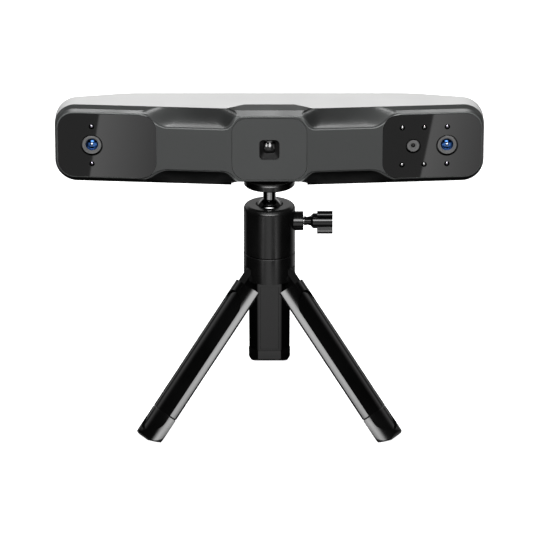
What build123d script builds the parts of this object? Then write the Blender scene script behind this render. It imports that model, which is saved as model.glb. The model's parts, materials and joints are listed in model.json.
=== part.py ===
from build123d import *
from math import cos, hypot, radians, sin, sqrt, tan
import os

# A bar-shaped structured-light 3D scanner on a small ball-head tripod.
# Millimetres, +Z up, floor at z = 0, the scanner looks along -Y.
# Everything is drawn about the tripod's axis. write() then moves it by origin_shift,
# so that the origin lies under the middle of the whole object's box.

# ---- driving dimensions: tripod -------------------------------------------------
hub_radius = 18.0
hub_drop = 4.9              # hub's lower face under the hinge pins
hub_rise = 13.6             # and its upper face above them
hub_groove = 0.3            # shadow gap between hub and head
pivot_radius = 12.0         # hinge pins lie this far from the axis
pivot_height = 106.4
open_angle = 39.5           # legs from vertical, on their stops
back_leg_angle = 90.0       # the back leg points along +Y
leg_radius = 17.5           # the three folded legs make a grip of this radius
leg_side_gap = 0.4          # from each flank to the plane between two folded legs
leg_inner_flat = 5.2        # distance of the inner face from the grip's axis
leg_start = 10.6            # shell's upper end, along the leg from the pivot
foot_length = 26.6          # from the toe's tip up to the parting line, along the leg
foot_tenon = 6.0            # length of the foot that is plugged into the shell
tongue_width = 8.2
tongue_head = 4.7           # radius round the pin
tongue_clearance = 0.3
pin_radius = 1.5
pin_length = 19.0
pin_fit = 0.04
channel_width = 23.4        # long dished channel down the outer face of each leg
channel_depth = 1.9
channel_floor_radius = 24.0
channel_groove = 0.45       # fine groove round the channel's foot, this wide
groove_depth = 0.5
channel_top = 18.0
channel_end = 9.4           # the channel ends this far above the toe's tip
toe_radius = 4.0
heel_radius = 9.0
cover_half = 6.6
cover_start = 22.0
cover_tail = 2.8            # the cover ends this far above the parting line
cover_thickness = 1.6
cover_gap = 0.1
latch_width = 13.0          # finger recess near the lower end of the inner face
latch_length = 14.0
latch_depth = 0.9
latch_rise = 14.3           # middle of the finger recess above the parting line
latch_corner = 1.2
latch_slot_width = 11.0
latch_slot = 2.2
cover_ledge = 1.6
hollow_depth = 4.2
tenon_inset = 3.0
tenon_fit = 0.15

# ---- driving dimensions: ball head ----------------------------------------------
head_radius = 17.9
head_height = 34.8
head_edge = 3.4
head_bore = 11.4
ball_radius = 10.0
ball_above_base = 30.2      # ball centre above the head's lower face
ball_clearance = 0.3
mouth_radius = 9.5
neck_radius = 4.4
plate_radius = 17.6
plate_rim = 4.6
plate_cone = 2.6            # height of the conical underside
neck_length = 16.1          # from the ball's middle to the plate
pad_thickness = 1.0
stud_radius = 3.175         # 1/4 inch camera thread
stud_height = 5.5
knob_axis = 22.2            # lock screw above the head's lower face
collar_radius = 6.7
collar_end = 23.6
knob_start = 24.0
knob_end = 43.8
knob_radius = 5.3
lobe_count = 3
lobe_start = 33.0
lobe_radius = 9.0
lobe_thickness = 4.4
lobe_round = 1.5
lobe_angle = 30.0           # first lobe, from straight down towards the front
lock_screw_radius = 2.5
lock_pin_radius = 3.0
screw_fit = 0.05
hub_bevel = 0.5
slot_root = 6.4             # inner end of each tongue slot
slot_mouth = 2.0            # the slot's cut runs this far past the hub's edge
spigot_height = 4.0
hub_screw_radius = 2.5
hub_screw_head = 4.4
hub_screw_head_height = 4.0
hub_screw_socket = 2.3
hub_screw_floor = 1.0       # metal left under the hex socket
plug_height = 8.0
cup_fit = 0.3
cup_bevel = 0.6
cup_drop = 0.6              # the cup ends this far below the ball's middle
sleeve_radius = 9.5         # bore of the plug's sleeve, which carries the cup
sleeve_bridge = 0.9         # wall left over the lock pin
plate_step = 0.8
plate_seat = 1.2            # the cone's small end is this much wider than the neck
pad_inset = 0.6
stud_bevel = 0.6
stud_root = 6.0             # length of the camera screw inside the neck
collar_bevel = 0.5
pin_seat = 15.0             # the lock pin's bore ends here
pin_tip = 8.47              # drawn locked, against the ball
screw_tip = 14.0
pin_bevel = 0.5
knob_foot_radius = 3.4
knob_waist = 4.6
knob_waist_radius = 2.8
knob_cone = 2.8             # the boss has its full radius this far before the lobes
knob_cap = 1.6              # solid end over the lock screw

# ---- driving dimensions: scanner ------------------------------------------------
scanner_width = 295.0
scanner_depth = 43.0
scanner_height = 55.3
corner_radius = 15.0
shell_wall = 2.0
face_height = 47.6          # front face, at its tall ends and centre
face_end_inset = 1.3
face_corner = 12.0
wing_sweep = 5.0            # each half of the front leans back by this angle
centre_half = 26.0          # half width of the flat centre
bezel_depth = 5.2           # front face to seam, on the wings
centre_depth = 14.2         # front face to seam, at the centre
centre_top_half = 17.3      # the dark top panel is this wide at its back edge
centre_top_root = 31.0
scoop_overlap = 13.5        # each scoop's outer end runs this far over its window's inner end
scoop_shoulder = 21.2       # length of the curve at that end
scoop_inner_flat = 32.0
scoop_inner = 17.3
scoop_top = 14.2            # height of the waist above the scanner's mid-plane
scoop_bottom = 16.4         # and below it
scoop_run = 13.0            # each side of a scoop closes in by this much at the seam
scoop_hollow = 1.8          # 1 is a straight slope, more is a deeper scoop
scoop_flat_share = 0.6      # the waist's flat closes in by this share of scoop_run
scoop_lift = 0.3            # at the seam a scoop has run out by this much
bevel_knee = 0.35           # share of the bezel's depth where its bevel turns flatter
bevel_knee_rise = 1.85
bevel_knee_inset = 0.55     # share of the end's inset that is left at the knee
bezel_wall = 2.2
front_bevel = 0.6           # fine bevel round the front faces
back_taper_length = 50.5    # the back slopes forward towards each end over this length
back_taper = 0.22           # and by this much for each millimetre
back_edge = 5.0             # rounding all round the back
back_round = 87.0           # radius where the flat back turns into its tapered ends
window_reach = 70.0         # the windows' inner ends, in from the scanner's ends
window_border = 1.0
window_corner = 12.0
window_thickness = 1.2
window_fit = 0.1
ledge = 2.4
lens_inset = 25.6           # depth cameras, in from the scanner's ends
lens_pitch = 23.3           # colour camera, in from the right depth camera
lens_hole = 7.6
barrel_radius = 6.7
lens_radius = 4.4
rgb_hole = 5.2
rgb_barrel_radius = 4.4
rgb_lens_radius = 1.5
led_hole = 1.9
led_radius = 1.6
led_rise = 13.4             # LEDs above and below each camera
flash_spread = 7.6          # white LEDs beside the colour camera
plate_groove = 0.3
plate_corner = 10.5
plate_border = 1.4
front_plate_thickness = 1.4
slot_width = 13.8           # projector opening
slot_height = 14.7
slot_corner = 3.0
funnel_width = 7.8
funnel_height = 8.4
funnel_depth = 6.0
projector_drop = 0.6        # the opening lies this far below the mid-plane
shroud_wall = 1.2
shroud_fit = 0.1
module_size = 19.0
module_depth = 8.0
projector_width = 24.0
projector_height = 26.0
bench_thickness = 2.5
bench_front = 5.5
bench_inset = 14.5          # the bench ends this far in from the scanner's ends
bench_height = 30.0
board_thickness = 1.6
main_board_half = 52.0
main_board_height = 34.0
main_board_front = 12.4
insert_radius = 5.5
insert_wall = 1.6
insert_height = 8.0
port_offset = -34.0
port_width = 9.0
port_height = 3.3
button_offset = 34.0
button_radius = 4.5
button_proud = 0.6
button_gap = 0.3
light_offset = 48.0
light_radius = 1.1
vent_count = 9
vent_pitch = 5.0
vent_width = 2.0
vent_height = 20.0
screw_radius = 1.5
screw_head = 2.9
screw_head_height = 1.8
boss_radius = 3.6
standoff_radius = 2.6
bezel_screw_length = 9.0
screw_slot = 0.7
barrel_bevel = 0.4
lens_seat = 0.9
lens_depth = 3.0
lens_crown = 0.9
led_back = 0.5
led_dome = 0.7
led_board_thickness = 1.2
post_inset = 4.1
post_radius = 1.8
funnel_corner = 1.5
projector_lens_radius = 5.2
projector_lens_depth = 2.4
port_sink = 0.2
port_wall = 0.3
port_tongue_width = 6.6
port_tongue = 0.7
port_depth = 6.0
switch_height = 3.2
button_clearance = 0.1
button_edge = 0.5
insert_floor = 1.5
screw_sink = 0.6
port_fit = 0.15
waist_hollow_start = 30.0
centre_bevel = 2.65
centre_underside = 11.5     # below, the centre slopes down over this depth instead
panel_fall = 0.45
standoff_x = 46.0
standoff_z = 13.0
shell_screw_x = 72.0
shell_screw_z = 10.0
bezel_screw_x = 48.0
bezel_screw_z = 7.5
barrel_back = 0.7           # lens barrels end this far behind the window's front
led_board_set = 3.6         # LED boards lie this far behind the front face
led_board_margin = 8.2
board_hole_fit = 0.2
fin_count = 9
fin_pitch = 5.0
fin_thickness = 1.4
sink_base = 1.2
sink_gap = 0.3
switch_size = 6.0
switch_gap = 0.6            # the button's travel and a little more
button_flange = 0.9
button_step = 0.7
light_fit = 0.05

# ---- worked out from the above --------------------------------------------------
leg_names = ("back", "left", "right")
leg_azimuths = {name: back_leg_angle + 360 * turn / len(leg_names) for turn, name in enumerate(leg_names)}
lean_sin, lean_cos = sin(radians(open_angle)), cos(radians(open_angle))
leg_inner = leg_inner_flat - pivot_radius       # inner and outer face, across the leg from the pins
leg_outer = leg_radius - pivot_radius
heel_tip = (pivot_height + leg_inner * lean_sin) / lean_cos
toe_tip = (pivot_height + leg_outer * lean_sin) / lean_cos
foot_start = toe_tip - foot_length
channel_bottom = toe_tip - channel_end
cover_end = foot_start - cover_tail
latch_middle = latch_rise - foot_start
hub_bottom = pivot_height - hub_drop
hub_top = pivot_height + hub_rise
head_bottom = hub_top + hub_groove
head_top = head_bottom + head_height
ball_height = head_bottom + ball_above_base
knob_height = head_bottom + knob_axis
cone_bottom = ball_height + neck_length
plate_bottom = cone_bottom + plate_cone
plate_top = plate_bottom + plate_rim
scanner_bottom = plate_top + pad_thickness
mid_height = scanner_bottom + scanner_height / 2
window_inner = scanner_width / 2 - window_reach
scoop_outer = window_inner + scoop_overlap
scoop_outer_flat = scoop_outer - scoop_shoulder
back_flat_half = scanner_width / 2 - back_taper_length
depth_lens_offset = scanner_width / 2 - lens_inset
rgb_lens_offset = depth_lens_offset - lens_pitch
bench_half = scanner_width / 2 - bench_inset
plug_bottom = head_bottom + spigot_height
cup_bottom = knob_height + lock_pin_radius + sleeve_bridge
cup_top = ball_height - cup_drop
front = -scanner_depth / 2
back = scanner_depth / 2
sweep_tan = tan(radians(wing_sweep))
opening_height = mid_height - projector_drop
shell_inner_back = back - shell_wall
board_back = main_board_front + board_thickness
bench_back = bench_front + bench_thickness
module_front = bench_front - module_depth
tunnel_back = front + funnel_depth
projector_front = tunnel_back + projector_lens_depth / 2
led_board_front = front + (depth_lens_offset - centre_half) * sweep_tan + led_board_set


def write(part, name):
    """Moves a finished piece into the shared frame, labels it and writes its STEP file."""
    placed = part.moved(Location((0, origin_shift, 0)))
    placed.label = name
    export_step(placed, f"parts/{name}.step")


# ---- legs -----------------------------------------------------------------------
def leg_plane(azimuth):
    """Origin on the hinge axis, local x out across the leg, local z back up the leg."""
    turn = radians(azimuth)
    return Plane(
        origin=(pivot_radius * cos(turn), pivot_radius * sin(turn), pivot_height),
        x_dir=(lean_cos * cos(turn), lean_cos * sin(turn), lean_sin),
        z_dir=(-lean_sin * cos(turn), -lean_sin * sin(turn), lean_cos),
    )


def side_plane(azimuth):
    """The same leg seen from its side: local x out across it, local y back up it."""
    leg = leg_plane(azimuth)
    return Plane(origin=leg.origin, x_dir=leg.x_dir, z_dir=-leg.y_dir)


def leg_profile(inset=0.0):
    """A third of a round grip, centred on local x = -pivot_radius, with a flat inner face."""
    radius, side, inner = leg_radius - inset, leg_side_gap + inset, leg_inner_flat + inset
    half = radians(60) - side / radius
    tip_x, tip_y = radius * cos(half), radius * sin(half)
    root_y = (inner - side / sin(radians(60))) * tan(radians(60))
    with BuildSketch() as profile:
        with BuildLine():
            ThreePointArc((tip_x, -tip_y), (radius, 0), (tip_x, tip_y))
            Polyline((tip_x, tip_y), (inner, root_y), (inner, -root_y), (tip_x, -tip_y))
        make_face()
    return profile.sketch.moved(Location((-pivot_radius, 0)))


def channel_tool(azimuth):
    """The stadium-shaped channel of the outer face, as the solid that is cut away."""
    leg = leg_plane(azimuth)
    outward = Plane(origin=leg.origin, x_dir=leg.y_dir, z_dir=leg.x_dir)
    middle = (0, -(channel_top + channel_bottom) / 2)
    length = channel_bottom - channel_top
    floor_centre = leg_outer - channel_depth - channel_floor_radius
    with BuildPart() as tool:
        with BuildSketch(outward.offset(leg_radius)):
            with Locations(middle):
                SlotOverall(length, channel_width, rotation=90)
        extrude(amount=-leg_radius)
        with BuildSketch(leg):
            with Locations((floor_centre, 0)):
                Circle(channel_floor_radius)
        extrude(amount=-2 * channel_bottom, mode=Mode.SUBTRACT)
    with BuildPart() as groove:
        with BuildSketch(outward.offset(leg_radius)):
            with Locations(middle):
                SlotOverall(length, channel_width, rotation=90)
                SlotOverall(length - 2 * channel_groove, channel_width - 2 * channel_groove, rotation=90,
                            mode=Mode.SUBTRACT)
        extrude(amount=-leg_radius)
        with BuildSketch(leg):
            with Locations((floor_centre, 0)):
                Circle(channel_floor_radius - groove_depth)
        extrude(amount=-2 * channel_bottom, mode=Mode.SUBTRACT)
    return tool.part + groove.part


def make_shell(azimuth):
    leg, side = leg_plane(azimuth), side_plane(azimuth)
    cover_bed = leg_inner + cover_thickness
    with BuildPart() as shell:
        with BuildSketch(leg.offset(-leg_start)):
            add(leg_profile())
        extrude(amount=-(foot_start - leg_start))
        # hinge tongue, round about the pin
        with BuildSketch(side):
            Circle(tongue_head)
            with Locations((0, -leg_start / 2)):
                Rectangle(2 * tongue_head, leg_start)
        extrude(amount=tongue_width / 2, both=True)
        with BuildSketch(side):
            Circle(pin_radius + pin_fit)
        extrude(amount=tongue_width, both=True, mode=Mode.SUBTRACT)
        add(channel_tool(azimuth), mode=Mode.SUBTRACT)
        # bed for the inner cover, and the hollow under it
        with BuildSketch(leg.offset(-cover_start)):
            with Locations((cover_bed - cover_thickness / 2, 0)):
                Rectangle(cover_thickness, 2 * cover_half)
        extrude(amount=-(cover_end - cover_start), mode=Mode.SUBTRACT)
        with BuildSketch(leg.offset(-cover_start - cover_ledge)):
            with Locations((cover_bed + hollow_depth / 2, 0)):
                Rectangle(hollow_depth, 2 * (cover_half - cover_ledge))
        extrude(amount=-(cover_end - cover_start - 2 * cover_ledge), mode=Mode.SUBTRACT)
        # socket for the foot's tenon
        with BuildSketch(leg.offset(-foot_start)):
            add(leg_profile(tenon_inset))
        extrude(amount=foot_tenon, mode=Mode.SUBTRACT)
    return shell.part


def make_cover(azimuth):
    """Flat strip of the inner face, with the finger recess near its lower end."""
    leg = leg_plane(azimuth)
    inward = Plane(origin=leg.origin, x_dir=leg.y_dir, z_dir=-leg.x_dir).offset(-leg_inner)
    with BuildPart() as cover:
        with BuildSketch(leg.offset(-cover_start - cover_gap)):
            with Locations((leg_inner + cover_thickness / 2, 0)):
                Rectangle(cover_thickness, 2 * (cover_half - cover_gap))
        extrude(amount=-(cover_end - cover_start - 2 * cover_gap))
        with BuildSketch(inward):
            with Locations((0, latch_middle)):
                RectangleRounded(latch_width, latch_length, latch_corner)
        extrude(amount=-latch_depth, mode=Mode.SUBTRACT)
        with BuildSketch(inward):
            with Locations((0, latch_middle)):
                SlotOverall(latch_slot_width, latch_slot)
        extrude(amount=-cover_thickness, mode=Mode.SUBTRACT)
    return cover.part


def make_foot(azimuth):
    """Rubber toe with a flat sole, plugged into the end of the shell by a tenon."""
    leg = leg_plane(azimuth)
    radial = Vector(cos(radians(azimuth)), sin(radians(azimuth)), 0)
    upright = Plane(origin=(0, 0, 0), x_dir=radial, z_dir=radial.cross(Vector(0, 0, 1)))

    def at(across, down):
        """Distance from the tripod's axis and height of a point of the leg's side view."""
        return (pivot_radius + across * lean_cos + down * lean_sin,
                pivot_height + across * lean_sin - down * lean_cos)

    with BuildPart() as foot:
        with BuildSketch(leg.offset(-foot_start)):
            add(leg_profile())
        extrude(amount=-foot_length)
        with BuildSketch(upright) as outline:
            with BuildLine():
                Polyline(at(leg_inner, foot_start), at(leg_inner, heel_tip), at(leg_outer, toe_tip),
                         at(leg_outer, foot_start), close=True)
            make_face()
            low = outline.vertices().sort_by(Axis.Y)[:2].sort_by(Axis.X)
            fillet(low[0], heel_radius)
            fillet(outline.vertices().sort_by(Axis.X)[-1], toe_radius)
        extrude(amount=leg_radius, both=True, mode=Mode.INTERSECT)
        add(channel_tool(azimuth), mode=Mode.SUBTRACT)
        with BuildSketch(leg.offset(-foot_start)):
            add(leg_profile(tenon_inset + tenon_fit))
        extrude(amount=foot_tenon - tenon_fit)
    return foot.part


# ---- hub ------------------------------------------------------------------------
def make_hub():
    """Round block with three slots for the leg tongues, and a spigot up into the head."""
    slot_top = pivot_height + tongue_head + tongue_clearance
    slot_half = tongue_width / 2 + tongue_clearance
    with BuildPart() as hub:
        with BuildSketch(Plane.XY.offset(hub_bottom)):
            Circle(hub_radius)
        extrude(amount=hub_top - hub_bottom)
        chamfer(hub.edges().group_by(Axis.Z)[-1], hub_bevel)
        with BuildSketch(Plane.XY.offset(hub_bottom)):
            with PolarLocations(0, 3, start_angle=leg_azimuths["back"]):
                with Locations(((slot_root + hub_radius + slot_mouth) / 2, 0)):
                    Rectangle(hub_radius + slot_mouth - slot_root, 2 * slot_half)
        extrude(amount=slot_top - hub_bottom, mode=Mode.SUBTRACT)
        with BuildSketch(Plane.XY.offset(hub_top)):
            Circle(head_bore)
        extrude(amount=hub_groove + spigot_height)
        with BuildSketch(Plane.XY.offset(hub_bottom)):
            Circle(hub_screw_radius + screw_fit)
        extrude(amount=hub_top + hub_groove + spigot_height - hub_bottom, mode=Mode.SUBTRACT)
        with BuildSketch(Plane.XY.offset(hub_bottom)):
            Circle(hub_screw_head + screw_fit)
        extrude(amount=hub_screw_head_height, mode=Mode.SUBTRACT)
        for azimuth in leg_azimuths.values():
            with BuildSketch(side_plane(azimuth)):
                Circle(pin_radius)
            extrude(amount=pin_length / 2, both=True, mode=Mode.SUBTRACT)
    return hub.part


def make_hinge_pins():
    with BuildPart() as pins:
        for azimuth in leg_azimuths.values():
            with BuildSketch(side_plane(azimuth)):
                Circle(pin_radius)
            extrude(amount=pin_length / 2, both=True)
    return pins.part


def make_hub_screw():
    """Countersunk from below, up through the hub into the head's base plug."""
    with BuildPart() as screw:
        with BuildSketch(Plane.XY.offset(hub_bottom)):
            Circle(hub_screw_head)
            RegularPolygon(hub_screw_socket, 6, mode=Mode.SUBTRACT)
        extrude(amount=hub_screw_head_height - hub_screw_floor)
        with BuildSketch(Plane.XY.offset(hub_bottom + hub_screw_head_height - hub_screw_floor)):
            Circle(hub_screw_head)
        extrude(amount=hub_screw_floor)
        with BuildSketch(Plane.XY.offset(hub_bottom + hub_screw_head_height)):
            Circle(hub_screw_radius)
        extrude(amount=plug_bottom + plug_height / 2 - hub_bottom - hub_screw_head_height)
    return screw.part


# ---- ball head ------------------------------------------------------------------
def make_head_housing():
    """Turned housing: bored from below, closed in over the ball, with the lock screw's collar."""
    cavity = ball_radius + ball_clearance
    lip = sqrt(cavity**2 - mouth_radius**2)
    with BuildPart() as housing:
        with BuildSketch(Plane.XZ):
            with BuildLine():
                Polyline(
                    (head_bore, head_bottom), (head_radius, head_bottom), (head_radius, head_top),
                    (mouth_radius, head_top), (mouth_radius, ball_height + lip),
                )
                RadiusArc((mouth_radius, ball_height + lip), (cavity, ball_height), cavity)
                Polyline((cavity, ball_height), (head_bore, ball_height), (head_bore, head_bottom))
            make_face()
        revolve(axis=Axis.Z)
        rim = housing.edges().filter_by(GeomType.CIRCLE).group_by(Axis.Z)[-1].sort_by(SortBy.RADIUS)
        fillet(rim[-1], head_edge)
        foot_edge = housing.edges().filter_by(GeomType.CIRCLE).group_by(Axis.Z)[0]
        chamfer(foot_edge.sort_by(SortBy.RADIUS)[-1], hub_bevel)
        with BuildSketch(Plane.YZ.offset((head_bore + head_radius) / 2)):
            with Locations((0, knob_height)):
                Circle(collar_radius)
        extrude(amount=collar_end - (head_bore + head_radius) / 2)
        chamfer(housing.faces().sort_by(Axis.X)[-1].edges(), collar_bevel)
        with BuildSketch(Plane.YZ):
            with Locations((0, knob_height)):
                Circle(lock_pin_radius + screw_fit)
        extrude(amount=pin_seat, mode=Mode.SUBTRACT)
        with BuildSketch(Plane.YZ):
            with Locations((0, knob_height)):
                Circle(lock_screw_radius + screw_fit)
        extrude(amount=collar_end, mode=Mode.SUBTRACT)
    return housing.part


def make_base_plug():
    """Closes the bore under the ball; the hub's screw pulls on it and its sleeve carries the cup."""
    with BuildPart() as plug:
        with BuildSketch(Plane.XY.offset(plug_bottom)):
            Circle(head_bore)
        extrude(amount=cup_bottom - plug_bottom)
        with BuildSketch(Plane.XY.offset(plug_bottom + plug_height)):
            Circle(sleeve_radius)
        extrude(amount=cup_bottom - plug_bottom - plug_height, mode=Mode.SUBTRACT)
        with BuildSketch(Plane.XY.offset(plug_bottom)):
            Circle(hub_screw_radius)
        extrude(amount=plug_height, mode=Mode.SUBTRACT)
        with BuildSketch(Plane.YZ):
            with Locations((0, knob_height)):
                Circle(lock_pin_radius + screw_fit)
        extrude(amount=head_radius, mode=Mode.SUBTRACT)
    return plug.part


def make_ball_cup():
    """Nylon ring under the ball that turns in the housing and carries the ball's weight."""
    with BuildPart() as cup:
        with BuildSketch(Plane.XY.offset(cup_bottom)):
            Circle(head_bore - cup_fit)
        extrude(amount=cup_top - cup_bottom)
        chamfer(cup.edges().group_by(Axis.Z)[0], cup_bevel)
        with Locations((0, 0, ball_height)):
            Sphere(ball_radius + ball_clearance, mode=Mode.SUBTRACT)
    return cup.part


def make_ball():
    """Steel ball and its neck, tapped for the camera screw."""
    with BuildPart() as ball:
        with Locations((0, 0, ball_height)):
            Sphere(ball_radius)
        with BuildSketch(Plane.XY.offset(ball_height)):
            Circle(neck_radius)
        extrude(amount=cone_bottom - ball_height)
        with BuildSketch(Plane.XY.offset(cone_bottom)):
            Circle(stud_radius)
        extrude(amount=-stud_root, mode=Mode.SUBTRACT)
    return ball.part


def make_screw_plate():
    """Round plate under the scanner: flat top, two steps in its rim and a conical underside."""
    with BuildPart() as plate:
        with BuildSketch(Plane.XZ):
            with BuildLine():
                Polyline(
                    (0, cone_bottom), (neck_radius + plate_seat, cone_bottom),
                    (plate_radius - plate_step, plate_bottom),
                    (plate_radius, plate_bottom + plate_step),
                    (plate_radius, plate_top - plate_step), (plate_radius - plate_step / 2, plate_top),
                    (0, plate_top), close=True,
                )
            make_face()
        revolve(axis=Axis.Z)
        with BuildSketch(Plane.XY.offset(cone_bottom)):
            Circle(stud_radius)
        extrude(amount=plate_top - cone_bottom, mode=Mode.SUBTRACT)
    return plate.part


def make_plate_pad():
    with BuildPart() as pad:
        with BuildSketch(Plane.XY.offset(plate_top)):
            Circle(plate_radius - pad_inset)
            Circle(insert_radius + pad_inset, mode=Mode.SUBTRACT)
        extrude(amount=pad_thickness)
    return pad.part


def make_mounting_screw():
    with BuildPart() as stud:
        with BuildSketch(Plane.XY.offset(cone_bottom - stud_root)):
            Circle(stud_radius)
        extrude(amount=stud_root + scanner_bottom + stud_height - cone_bottom)
        chamfer(stud.edges().group_by(Axis.Z)[-1], stud_bevel)
    return stud.part


def make_lock_pin():
    """Brass pin that the lock screw drives in against the ball."""
    with BuildPart() as pin:
        with BuildSketch(Plane.YZ.offset(pin_tip)):
            with Locations((0, knob_height)):
                Circle(lock_pin_radius)
        extrude(amount=screw_tip - pin_tip)
        chamfer(pin.edges().group_by(Axis.X)[0], pin_bevel)
    return pin.part


def make_lock_screw():
    with BuildPart() as screw:
        with BuildSketch(Plane.YZ.offset(screw_tip)):
            with Locations((0, knob_height)):
                Circle(lock_screw_radius)
        extrude(amount=knob_end - knob_cap - screw_tip)
    return screw.part


def make_lock_knob():
    """Waisted neck, round boss and three lobes, fixed on the lock screw."""
    axis_plane = Plane(origin=(0, 0, knob_height), x_dir=(1, 0, 0), z_dir=(0, -1, 0))
    with BuildPart() as knob:
        with BuildSketch(axis_plane):
            with BuildLine():
                Polyline((knob_start, 0), (knob_start, knob_foot_radius),
                         (knob_start + knob_waist / 2, knob_waist_radius),
                         (knob_start + knob_waist, knob_foot_radius),
                         (lobe_start - knob_cone, knob_radius), (knob_end, knob_radius),
                         (knob_end, 0), close=True)
            make_face()
        revolve(axis=Axis((0, 0, knob_height), (1, 0, 0)))
        with BuildSketch(Plane.YZ.offset(lobe_start)):
            with Locations((0, knob_height)):
                with PolarLocations(0, lobe_count, start_angle=270 - lobe_angle):
                    with Locations((lobe_radius / 2, 0)):
                        Rectangle(lobe_radius, lobe_thickness)
        extrude(amount=knob_end - lobe_start)
        long_edges = knob.edges().filter_by(Axis.X)
        reach = long_edges.filter_by(
            lambda edge: hypot(edge.center().Y, edge.center().Z - knob_height) > lobe_radius)
        fillet(reach, lobe_round)
        with BuildSketch(Plane.YZ):
            with Locations((0, knob_height)):
                Circle(lock_screw_radius)
        extrude(amount=knob_end - knob_cap, mode=Mode.SUBTRACT)
    return knob.part


# ---- scanner: shared forms ------------------------------------------------------
def front_y(x):
    """Y of the front face at a distance x from the middle."""
    return front + max(abs(x) - centre_half, 0) * sweep_tan


def half_plane(side, depth=0.0):
    """Plane of one half's front face, moved back by depth. Local x runs to the right, local y up,
    and local z forwards; the origin is where the plane crosses the middle of the scanner."""
    sweep = radians(wing_sweep) * side
    middle = Vector(0, front - centre_half * sweep_tan, mid_height)
    normal = Vector(sin(sweep), -cos(sweep), 0)
    return Plane(origin=middle - normal * depth, x_dir=(cos(sweep), sin(sweep), 0), z_dir=normal)


def along(x, depth=0.0):
    """Distance on a half_plane of a point that lies x from the middle."""
    return x / cos(radians(wing_sweep)) + depth * sweep_tan


def end_outline(side, length, height, radius):
    """Front view of one half, from the middle to its end, with the end's corners rounded."""
    with BuildSketch() as outline:
        with Locations((side * length / 2, 0)):
            Rectangle(length, height)
        fillet(outline.vertices().group_by(Axis.X)[-1 if side > 0 else 0], radius)
    return outline.sketch


def window_outline(side, inset):
    """The glossy window of one half, with its four rounded corners."""
    outer = along(scanner_width / 2 - face_end_inset) - window_border - inset
    inner = along(window_inner) + inset
    with BuildSketch() as outline:
        with Locations((side * (outer + inner) / 2, 0)):
            RectangleRounded(outer - inner, face_height - 2 * (window_border + inset),
                             window_corner - window_border - inset)
    return outline.sketch


def scoop_outline(side, up, depth, margin=0.0):
    """Front view of a scoop at a depth, 0 on the front face and 1 at the seam, widened by margin."""
    waist = (scoop_top if up > 0 else scoop_bottom) - margin
    shrink = scoop_run * depth
    seam = scanner_height / 2 + scoop_lift
    edge = face_height / 2 - margin + (seam - face_height / 2) * depth
    level = waist + (seam - waist) * depth ** scoop_hollow
    outer, inner = scoop_outer - shrink + margin, scoop_inner + shrink - margin
    outer_flat = scoop_outer_flat - shrink * scoop_flat_share
    inner_flat = scoop_inner_flat + shrink * scoop_flat_share
    level_tangent = (side, 0)
    with BuildSketch() as outline:
        with BuildLine():
            Spline((side * inner, up * edge), (side * inner_flat, up * level),
                   tangents=(level_tangent, level_tangent))
            Line((side * inner_flat, up * level), (side * outer_flat, up * level))
            Spline((side * outer_flat, up * level), (side * outer, up * edge),
                   tangents=(level_tangent, level_tangent))
            Polyline((side * outer, up * edge), (side * outer, up * scanner_height),
                     (side * inner, up * scanner_height), (side * inner, up * edge))
        make_face()
    return outline.sketch


def scoop_tool(side, up):
    """One scoop between the centre and an end, hollowed from the front edge up to the seam,
    with the front edge's fine bevel as a wider mouth."""
    with BuildPart() as tool:
        for depth in (0, 0.5, 1):
            with BuildSketch(half_plane(side, depth * bezel_depth)):
                add(scoop_outline(side, up, depth))
        loft()
    with BuildPart() as mouth:
        with BuildSketch(half_plane(side, front_bevel)):
            add(scoop_outline(side, up, 0))
        with BuildSketch(half_plane(side)):
            add(scoop_outline(side, up, 0, front_bevel))
        loft(ruled=True)
        with BuildSketch(half_plane(side)):
            add(scoop_outline(side, up, 0, front_bevel))
        extrude(amount=front_bevel)
    return tool.part + mouth.part


def spots(x, z):
    """Four places, x to each side of the middle and z above and below it."""
    return [(side * x, mid_height + up * z) for side in (1, -1) for up in (1, -1)]


def opening_outline(margin):
    """The projector's opening, widened by margin."""
    with BuildSketch() as outline:
        with Locations((0, opening_height)):
            RectangleRounded(slot_width + 2 * margin, slot_height + 2 * margin, slot_corner + margin)
    return outline.sketch


def seam_points(half):
    """The seam between bezel and rear shell, seen from above, from left to right."""
    def wing_seam(x):
        return front_y(x) + bezel_depth / cos(radians(wing_sweep))
    right = [(centre_top_half, front + centre_depth), (centre_top_root, wing_seam(centre_top_root)),
             (half, wing_seam(half))]
    return [(-x, y) for x, y in reversed(right)] + right


def shell_form(inset):
    """The rear shell's solid, from the seam to the back, with every outer wall moved in by inset."""
    half, rear = scanner_width / 2 - inset, back - inset
    corner_y = rear - (scanner_width / 2 - back_flat_half) * back_taper
    with BuildPart() as form:
        with BuildSketch(Plane.XY.offset(mid_height - scanner_height / 2 + inset)) as plan:
            with BuildLine():
                Polyline(*seam_points(half), (half, corner_y), (back_flat_half, rear),
                         (-back_flat_half, rear), (-half, corner_y), close=True)
            make_face()
            fillet(plan.vertices().group_by(Axis.Y)[-1], back_round)
        extrude(amount=scanner_height - 2 * inset)
        with BuildSketch(Plane.XZ.offset(-back)):
            with Locations((0, mid_height)):
                RectangleRounded(2 * half, scanner_height - 2 * inset, corner_radius - inset)
        extrude(amount=2 * back, mode=Mode.INTERSECT)
        # one edge is enough: the rounding runs on round the ends
        long_edges = form.faces().sort_by(Axis.Y)[-1].edges().filter_by(Axis.X)
        fillet(long_edges.sort_by(Axis.Z)[-1], back_edge - inset)
    return form.part


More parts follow.
